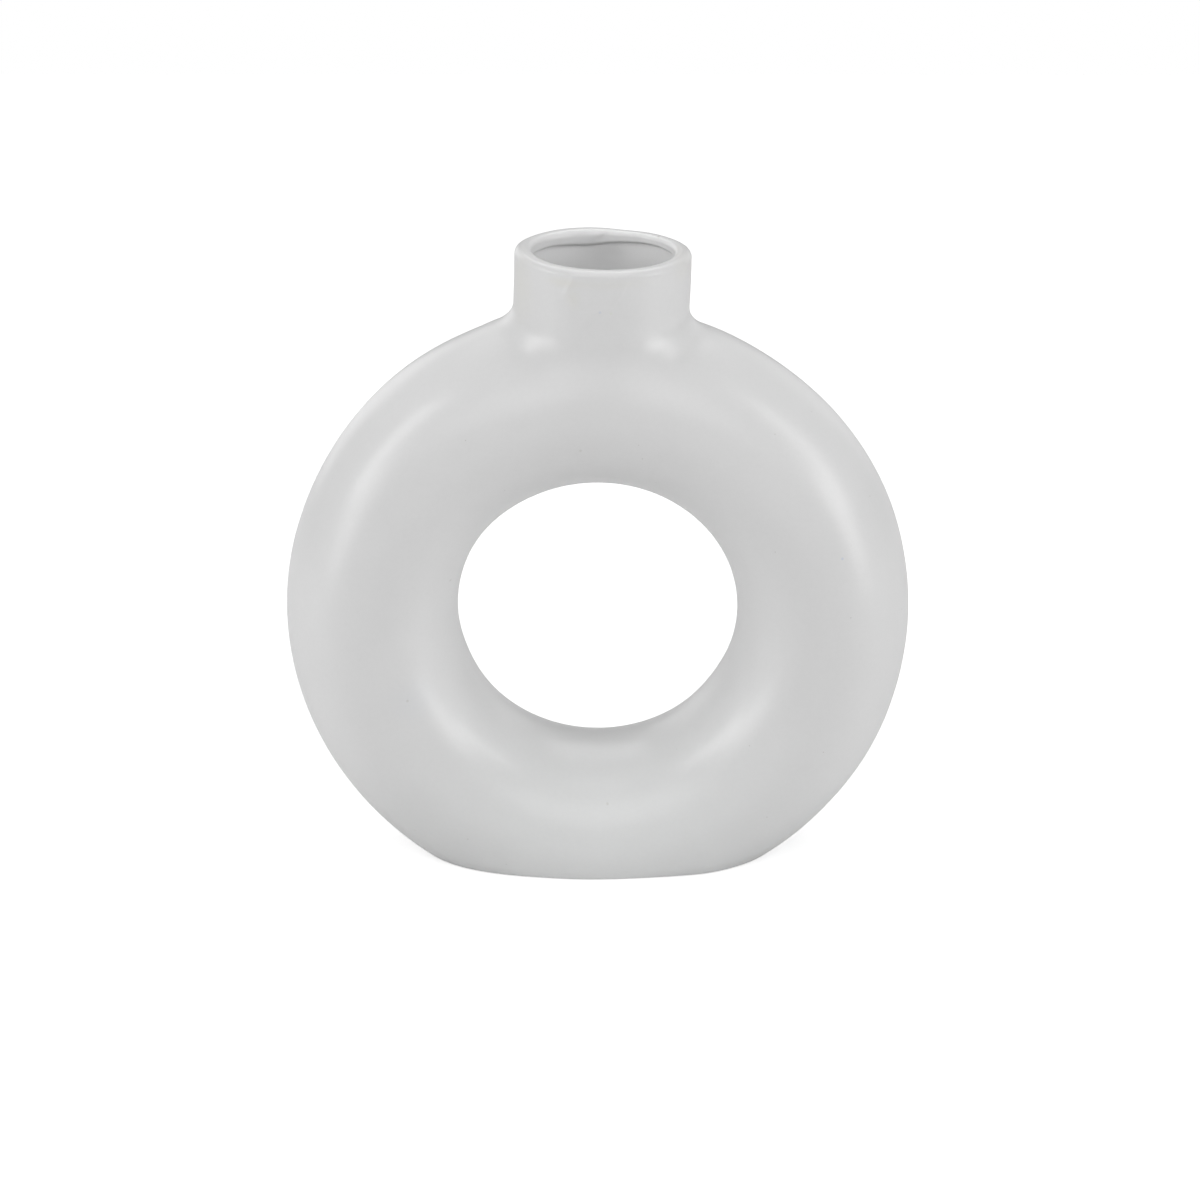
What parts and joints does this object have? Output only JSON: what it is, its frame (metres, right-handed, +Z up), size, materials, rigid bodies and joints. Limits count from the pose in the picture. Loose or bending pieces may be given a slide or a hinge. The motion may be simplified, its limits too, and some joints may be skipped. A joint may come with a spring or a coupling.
{
  "type": "donut vase",
  "caption": "Ring-shaped hollow vase with a flat foot, an open centre and a short straight neck with a rolled lip on its crown.",
  "frame": {"origin": "on the surface the vase stands on, under the middle of the ring", "axes": "+Z up out of the neck, -Y towards the viewer of the picture (the front), +X to the viewer's right; the ring lies in the XZ plane"},
  "size_m": [0.24, 0.0786, 0.2415],
  "materials": {
    "glaze": "satin matt glaze, pale grey-white",
    "bare_clay": "bare fired clay, wiped under the glaze line"
  },
  "bodies": {
    "root": {"front_shell": "glaze", "back_shell": "glaze", "neck_collar": "glaze", "foot_slab": "bare_clay"}
  },
  "joints": []
}
